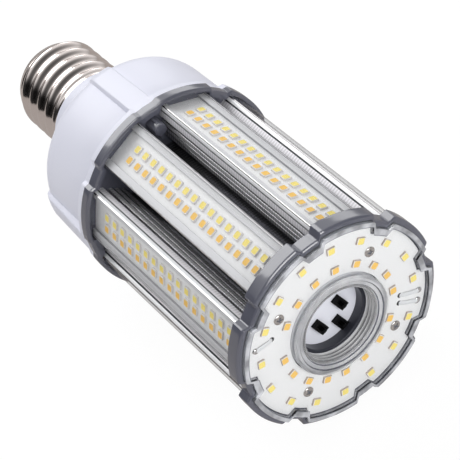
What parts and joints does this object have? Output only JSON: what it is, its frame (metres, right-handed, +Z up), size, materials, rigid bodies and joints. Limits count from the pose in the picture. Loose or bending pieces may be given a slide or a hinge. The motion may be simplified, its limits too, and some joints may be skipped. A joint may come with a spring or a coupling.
{
  "type": "led corn lamp with a large screw base",
  "caption": "Straight corn-cob lamp lying on its side: finned aluminium body with clear-covered LED strips, LED end face with a switch port, white driver housing and screw base.",
  "frame": {"origin": "centre of the bounding box at floor level; the lamp lies on its side on two lobes of the front ring and two of the rear collar", "axes": "+Y along the lamp's axis from the LED end face to the screw base, +Z up"},
  "size_m": [0.0852, 0.2156, 0.0851],
  "materials": {
    "nickel": "bright nickel plate",
    "insulator": "black moulded",
    "contact": "soldered brass",
    "housing": "white moulded, satin gloss",
    "ring": "grey moulded, satin gloss",
    "aluminium": "extruded, polished outer lips",
    "strip_board": "white mask on an aluminium core",
    "end_board": "white mask on an aluminium core",
    "led_cool": "pale yellow phosphor window in a white case",
    "led_warm": "amber phosphor window in a white case",
    "clear": "clear polycarbonate",
    "steel": "zinc-plated",
    "lead": "white wire insulation",
    "solder": "bright solder",
    "sleeve": "dark grey moulded",
    "switch_board": "white mask",
    "switch_case": "black moulded",
    "switch_knob": "black moulded",
    "driver_board": "green mask",
    "ferrite": "dark ferrite",
    "winding": "enamelled copper",
    "can": "sleeved can"
  },
  "bodies": {
    "lamp": {"base_insulator": "insulator", "capacitor": "can", "centre_contact": "contact", "centre_lead": "lead", "choke": "ferrite", "collar_screws": "steel", "driver_board": "driver_board", "driver_housing": "housing", "driver_screws": "steel", "end_board": "end_board", "end_cover": "clear", "end_leads": "lead", "end_leds_cool": "led_cool", "end_leds_warm": "led_warm", "end_screws": "steel", "end_solder": "solder", "front_ring": "ring", "heat_sink": "aluminium", "housing_screws": "steel", "rear_collar": "ring", "ring_screws": "steel", "screw_shell": "nickel", "side_lead": "lead", "strip_board_1": "strip_board", "strip_board_2": "strip_board", "strip_board_3": "strip_board", "strip_board_4": "strip_board", "strip_board_5": "strip_board", "strip_board_6": "strip_board", "strip_board_7": "strip_board", "strip_board_8": "strip_board", "strip_cover_1": "clear", "strip_cover_2": "clear", "strip_cover_3": "clear", "strip_cover_4": "clear", "strip_cover_5": "clear", "strip_cover_6": "clear", "strip_cover_7": "clear", "strip_cover_8": "clear", "strip_leds_cool": "led_cool", "strip_leds_warm": "led_warm", "switch_board": "switch_board", "switch_cable": "lead", "switch_case_1": "switch_case", "switch_case_2": "switch_case", "switch_case_3": "switch_case", "switch_sleeve": "sleeve", "transformer": "ferrite", "transformer_coil": "winding"},
    "knob_1": {"switch_knob_1": "switch_knob"},
    "knob_2": {"switch_knob_2": "switch_knob"},
    "knob_3": {"switch_knob_3": "switch_knob"}
  },
  "joints": [
    {"name": "switch_1_slide", "type": "slide", "parent": "lamp", "child": "knob_1", "axis": [-0.3827, 0, 0.9239], "range_m": [0, 0.0022]},
    {"name": "switch_2_slide", "type": "slide", "parent": "lamp", "child": "knob_2", "axis": [-0.3827, 0, 0.9239], "range_m": [0, 0.0022]},
    {"name": "switch_3_slide", "type": "slide", "parent": "lamp", "child": "knob_3", "axis": [-0.3827, 0, 0.9239], "range_m": [0, 0.0022]}
  ]
}
